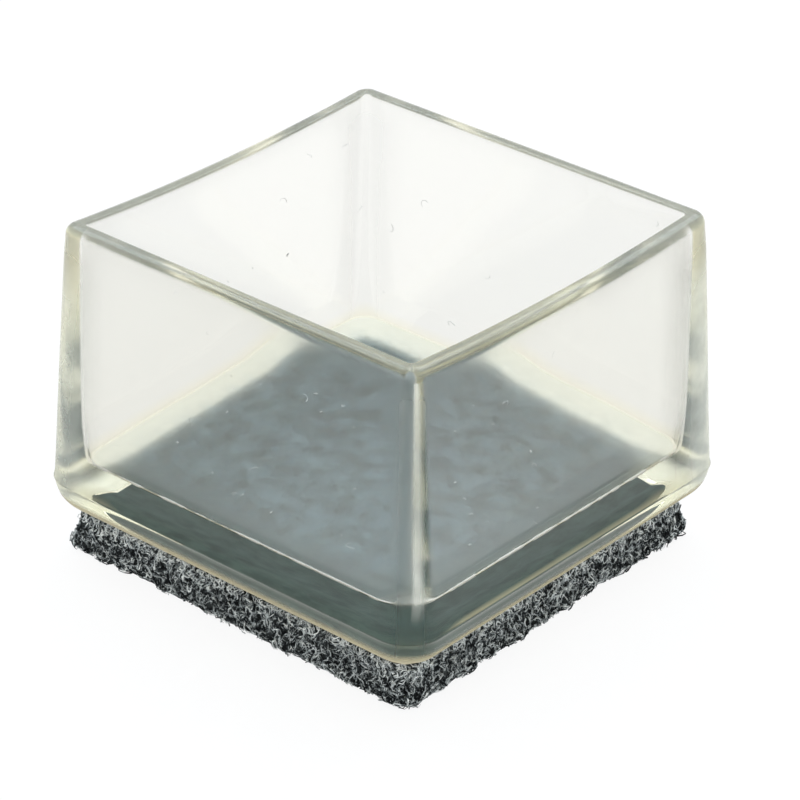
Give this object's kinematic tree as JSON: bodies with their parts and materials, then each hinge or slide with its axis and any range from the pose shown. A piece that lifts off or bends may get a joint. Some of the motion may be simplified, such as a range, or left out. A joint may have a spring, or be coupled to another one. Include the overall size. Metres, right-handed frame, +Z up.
{
  "type": "furniture slider",
  "caption": "Square clear soft cup that slips over the end of a furniture leg, with a felt pad stuck under its thick floor so that the leg slides quietly.",
  "frame": {"origin": "centre of the felt pad's lower face, where the slider stands on the floor", "axes": "+Z up, out of the pocket's mouth; X and Y square to the walls, with the two walls whose rims dip facing -X and +X"},
  "size_m": [0.0358, 0.0358, 0.0266],
  "materials": {
    "clear_vinyl": "clear, glossy and soft, with a faint yellow-green tint and fine scratches",
    "adhesive": "thin amber film",
    "felt": "needled felt of mixed black, grey and pale fibres"
  },
  "bodies": {
    "root": {"leg_cap": "clear_vinyl", "adhesive_film": "adhesive", "felt_pad": "felt"}
  },
  "joints": []
}
